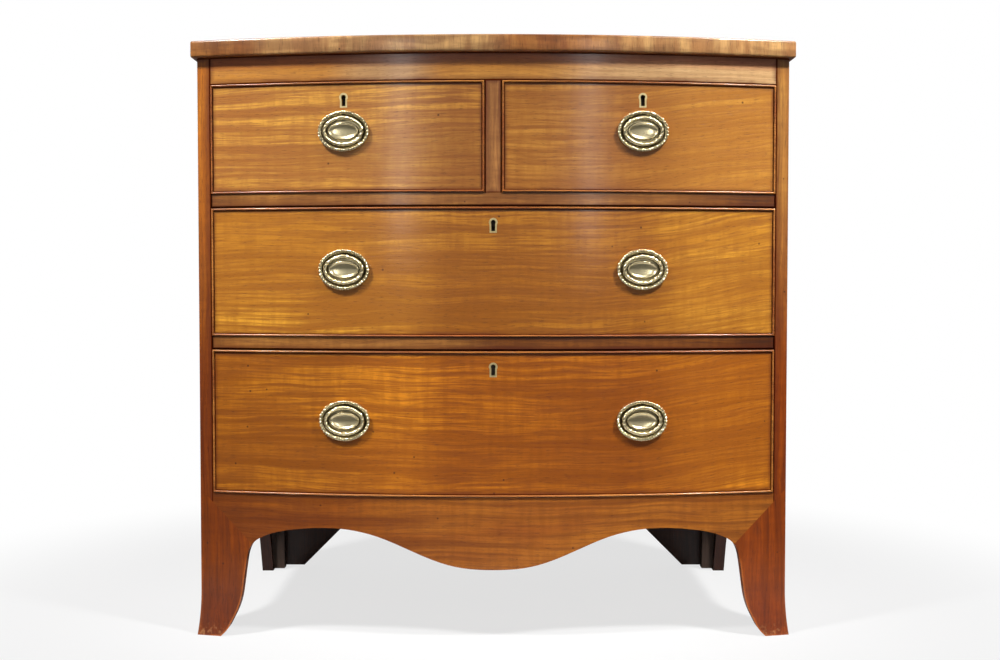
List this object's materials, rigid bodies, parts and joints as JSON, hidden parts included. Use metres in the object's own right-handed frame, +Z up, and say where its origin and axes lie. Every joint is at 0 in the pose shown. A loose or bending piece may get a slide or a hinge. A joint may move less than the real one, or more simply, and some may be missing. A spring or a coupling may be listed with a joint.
{
  "type": "bow front chest of drawers",
  "caption": "Bow-fronted mahogany chest with short drawers over long ones, oval brass ring pulls, a shaped apron and splayed bracket feet.",
  "frame": {"origin": "on the floor, under the middle of the chest's overall width and depth", "axes": "+X to the right seen from the front, +Y to the back, +Z up"},
  "size_m": [0.915, 0.5459, 0.905],
  "materials": {
    "front_mahogany": "straight-grained golden mahogany, French polished",
    "carcass_mahogany": "golden-brown mahogany veneer, French polished",
    "top_mahogany": "mahogany, cross-grained edge, French polished",
    "foot_mahogany": "red-brown mahogany, polished",
    "bead_mahogany": "dark red-brown polished mahogany bead",
    "oak": "planed oak, unfinished, aged",
    "pine": "planed pine, unfinished, aged",
    "brass": "pressed and cast brass, softly tarnished",
    "lock_iron": "wrought iron lock, darkened",
    "lock_steel": "filed steel bolt"
  },
  "bodies": {
    "carcass": {"top": "top_mahogany", "side_left": "carcass_mahogany", "side_right": "carcass_mahogany", "frieze_rail": "carcass_mahogany", "drawer_divider": "carcass_mahogany", "rail_upper": "carcass_mahogany", "rail_lower": "carcass_mahogany", "dustboards": "pine", "drawer_runners": "pine", "drawer_stops": "oak", "carcass_bottom": "pine", "apron": "carcass_mahogany", "front_foot_left": "foot_mahogany", "front_foot_right": "foot_mahogany", "rear_foot_left": "foot_mahogany", "rear_foot_right": "foot_mahogany", "backboards": "pine", "glue_blocks": "pine"},
    "short_left_drawer": {"short_left_front": "front_mahogany", "short_left_cock_beads": "bead_mahogany", "short_left_sides": "oak", "short_left_back": "oak", "short_left_bottom": "oak", "short_left_lock": "lock_iron", "short_left_escutcheon": "brass", "short_left_handle_plates": "brass"},
    "short_left_bolt": {"short_left_lock_bolt": "lock_steel"},
    "short_left_ring_bail": {"short_left_ring": "brass"},
    "short_right_drawer": {"short_right_front": "front_mahogany", "short_right_cock_beads": "bead_mahogany", "short_right_sides": "oak", "short_right_back": "oak", "short_right_bottom": "oak", "short_right_lock": "lock_iron", "short_right_escutcheon": "brass", "short_right_handle_plates": "brass"},
    "short_right_bolt": {"short_right_lock_bolt": "lock_steel"},
    "short_right_ring_bail": {"short_right_ring": "brass"},
    "long_upper_drawer": {"long_upper_front": "front_mahogany", "long_upper_cock_beads": "bead_mahogany", "long_upper_sides": "oak", "long_upper_back": "oak", "long_upper_bottom": "oak", "long_upper_lock": "lock_iron", "long_upper_escutcheon": "brass", "long_upper_handle_plates": "brass"},
    "long_upper_bolt": {"long_upper_lock_bolt": "lock_steel"},
    "long_upper_ring_left_bail": {"long_upper_ring_left": "brass"},
    "long_upper_ring_right_bail": {"long_upper_ring_right": "brass"},
    "long_lower_drawer": {"long_lower_front": "front_mahogany", "long_lower_cock_beads": "bead_mahogany", "long_lower_sides": "oak", "long_lower_back": "oak", "long_lower_bottom": "oak", "long_lower_lock": "lock_iron", "long_lower_escutcheon": "brass", "long_lower_handle_plates": "brass"},
    "long_lower_bolt": {"long_lower_lock_bolt": "lock_steel"},
    "long_lower_ring_left_bail": {"long_lower_ring_left": "brass"},
    "long_lower_ring_right_bail": {"long_lower_ring_right": "brass"}
  },
  "joints": [
    {"name": "short_left_slide", "type": "slide", "parent": "carcass", "child": "short_left_drawer", "axis": [0, -1, 0], "range_m": [0, 0.33]},
    {"name": "short_left_bolt_throw", "type": "slide", "parent": "short_left_drawer", "child": "short_left_bolt", "axis": [0, 0, 1], "range_m": [0, 0.0065]},
    {"name": "short_left_ring_swing", "type": "hinge", "parent": "short_left_drawer", "child": "short_left_ring_bail", "pos_m": [-0.22309, -0.25285, 0.78525], "axis": [-0.9931, 0.1175, 0], "range_deg": [0, 80]},
    {"name": "short_right_slide", "type": "slide", "parent": "carcass", "child": "short_right_drawer", "axis": [0, -1, 0], "range_m": [0, 0.33]},
    {"name": "short_right_bolt_throw", "type": "slide", "parent": "short_right_drawer", "child": "short_right_bolt", "axis": [0, 0, 1], "range_m": [0, 0.0065]},
    {"name": "short_right_ring_swing", "type": "hinge", "parent": "short_right_drawer", "child": "short_right_ring_bail", "pos_m": [0.22309, -0.25285, 0.78525], "axis": [-0.9931, -0.1175, 0], "range_deg": [0, 80]},
    {"name": "long_upper_slide", "type": "slide", "parent": "carcass", "child": "long_upper_drawer", "axis": [0, -1, 0], "range_m": [0, 0.33]},
    {"name": "long_upper_bolt_throw", "type": "slide", "parent": "long_upper_drawer", "child": "long_upper_bolt", "axis": [0, 0, 1], "range_m": [0, 0.0065]},
    {"name": "long_upper_ring_left_swing", "type": "hinge", "parent": "long_upper_drawer", "child": "long_upper_ring_left_bail", "pos_m": [-0.22309, -0.25285, 0.57975], "axis": [-0.9931, 0.1175, 0], "range_deg": [0, 80]},
    {"name": "long_upper_ring_right_swing", "type": "hinge", "parent": "long_upper_drawer", "child": "long_upper_ring_right_bail", "pos_m": [0.22309, -0.25285, 0.57975], "axis": [-0.9931, -0.1175, 0], "range_deg": [0, 80]},
    {"name": "long_lower_slide", "type": "slide", "parent": "carcass", "child": "long_lower_drawer", "axis": [0, -1, 0], "range_m": [0, 0.33]},
    {"name": "long_lower_bolt_throw", "type": "slide", "parent": "long_lower_drawer", "child": "long_lower_bolt", "axis": [0, 0, 1], "range_m": [0, 0.0065]},
    {"name": "long_lower_ring_left_swing", "type": "hinge", "parent": "long_lower_drawer", "child": "long_lower_ring_left_bail", "pos_m": [-0.22309, -0.25285, 0.35375], "axis": [-0.9931, 0.1175, 0], "range_deg": [0, 80]},
    {"name": "long_lower_ring_right_swing", "type": "hinge", "parent": "long_lower_drawer", "child": "long_lower_ring_right_bail", "pos_m": [0.22309, -0.25285, 0.35375], "axis": [-0.9931, -0.1175, 0], "range_deg": [0, 80]}
  ]
}
